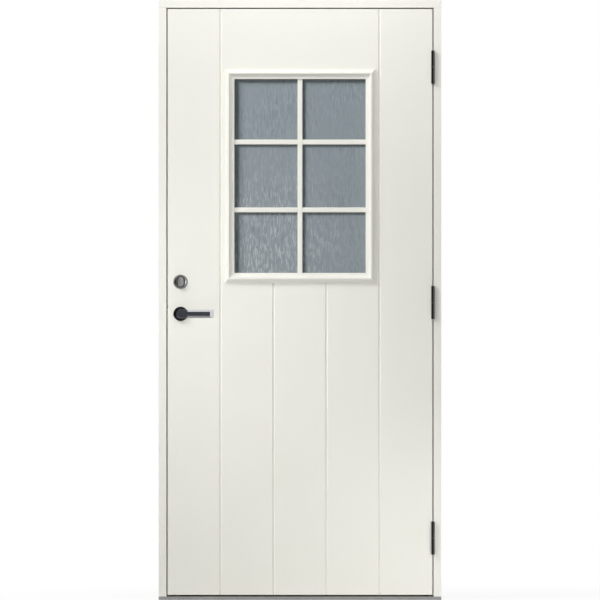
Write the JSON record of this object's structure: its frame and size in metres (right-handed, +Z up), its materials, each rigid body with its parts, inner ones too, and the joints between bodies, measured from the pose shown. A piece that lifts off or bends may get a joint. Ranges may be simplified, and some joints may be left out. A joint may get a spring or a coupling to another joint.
{
  "type": "exterior door with frame",
  "caption": "Insulated exterior door in its frame, hung to open outward, with vertical grooves, a barred window of obscure glass, a lever handle, a spring latch and a dead bolt",
  "frame": {"origin": "middle of the underside of the threshold, halfway through the depth of the frame", "axes": "+X from the lock side to the hinge side, +Y into the house, +Z up"},
  "size_m": [0.98, 0.166, 2.08],
  "materials": {
    "white_paint": "satin",
    "pine": "matte",
    "oak": "satin",
    "insulation": "matte",
    "obscure_glass": "satin",
    "clear_glass": "gloss",
    "aluminium": "satin",
    "rubber": "matte",
    "hard_plastic": "matte",
    "nylon": "matte",
    "zinc_steel": "satin",
    "hinge_steel": "satin",
    "dark_chrome": "polished",
    "polished_steel": "polished",
    "brass": "satin"
  },
  "bodies": {
    "frame": {"lock_jamb": "white_paint", "hinge_jamb": "white_paint", "head_jamb": "white_paint", "threshold": "oak", "threshold_plate": "aluminium", "frame_seal": "rubber", "fixing_sleeves": "zinc_steel", "strike_plate": "zinc_steel", "frame_screws": "zinc_steel", "frame_hinge_top": "hinge_steel", "frame_hinge_middle": "hinge_steel", "frame_hinge_bottom": "hinge_steel", "hinge_pins": "zinc_steel", "hinge_washers": "nylon"},
    "leaf": {"outer_skin": "white_paint", "inner_skin": "white_paint", "lock_stile": "pine", "hinge_stile": "pine", "top_rail": "pine", "bottom_rail": "pine", "window_rails": "pine", "window_studs": "pine", "insulation_boards": "insulation", "outer_pane": "obscure_glass", "middle_pane": "clear_glass", "inner_pane": "clear_glass", "glass_spacers": "aluminium", "glazing_blocks": "hard_plastic", "glazing_gaskets": "rubber", "outer_moulding_top": "white_paint", "outer_moulding_bottom": "white_paint", "outer_moulding_lock_side": "white_paint", "outer_moulding_hinge_side": "white_paint", "inner_mouldings": "white_paint", "outer_upright_bar": "white_paint", "outer_level_bars": "white_paint", "inner_upright_bar": "white_paint", "inner_level_bars": "white_paint", "leaf_hinge_top": "hinge_steel", "leaf_hinge_middle": "hinge_steel", "leaf_hinge_bottom": "hinge_steel", "leaf_screws": "zinc_steel", "lock_box": "zinc_steel", "lock_cover": "zinc_steel", "lock_faceplate": "zinc_steel", "outer_rose": "dark_chrome", "inner_rose": "dark_chrome", "cylinder_ring": "polished_steel", "cylinder_body": "polished_steel", "turn_rose": "polished_steel", "rose_bolts": "zinc_steel"},
    "handle": {"outer_lever": "dark_chrome", "inner_lever": "dark_chrome", "spindle": "zinc_steel", "hub": "brass"},
    "latch": {"latch_bolt": "polished_steel"},
    "dead_bolt": {"dead_bolt": "polished_steel"},
    "thumb_turn": {"thumb_turn": "polished_steel", "bolt_cam": "brass"},
    "key_plug": {"cylinder_plug": "brass"}
  },
  "joints": [
    {"name": "leaf_swing", "type": "hinge", "parent": "frame", "child": "leaf", "pos_m": [0.461, -0.0595, 0], "axis": [0, 0, 1], "range_deg": [0, 110]},
    {"name": "lever_turn", "type": "hinge", "parent": "leaf", "child": "handle", "pos_m": [-0.414, -0.0215, 0.992], "axis": [0, 1, 0], "range_deg": [0, 45], "stiffness_Nm_per_rad": 1.5, "springref_deg": -34.38},
    {"name": "latch_slide", "type": "slide", "parent": "leaf", "child": "latch", "axis": [1, 0, 0], "range_m": [0, 0.011]},
    {"name": "thumb_turn_turn", "type": "hinge", "parent": "leaf", "child": "thumb_turn", "pos_m": [-0.414, -0.0215, 1.097], "axis": [0, -1, 0], "range_deg": [0, 90]},
    {"name": "dead_bolt_slide", "type": "slide", "parent": "leaf", "child": "dead_bolt", "axis": [-1, 0, 0], "range_m": [0, 0.017]},
    {"name": "key_turn", "type": "hinge", "parent": "leaf", "child": "key_plug", "pos_m": [-0.414, -0.0215, 1.097], "axis": [0, -1, 0], "range_deg": [0, 90]}
  ],
  "couplings": [
    {"joint": "latch_slide", "follows": "lever_turn", "m_per_rad": 0.014006},
    {"joint": "thumb_turn_turn", "follows": "dead_bolt_slide", "rad_per_m": 92.399}
  ]
}
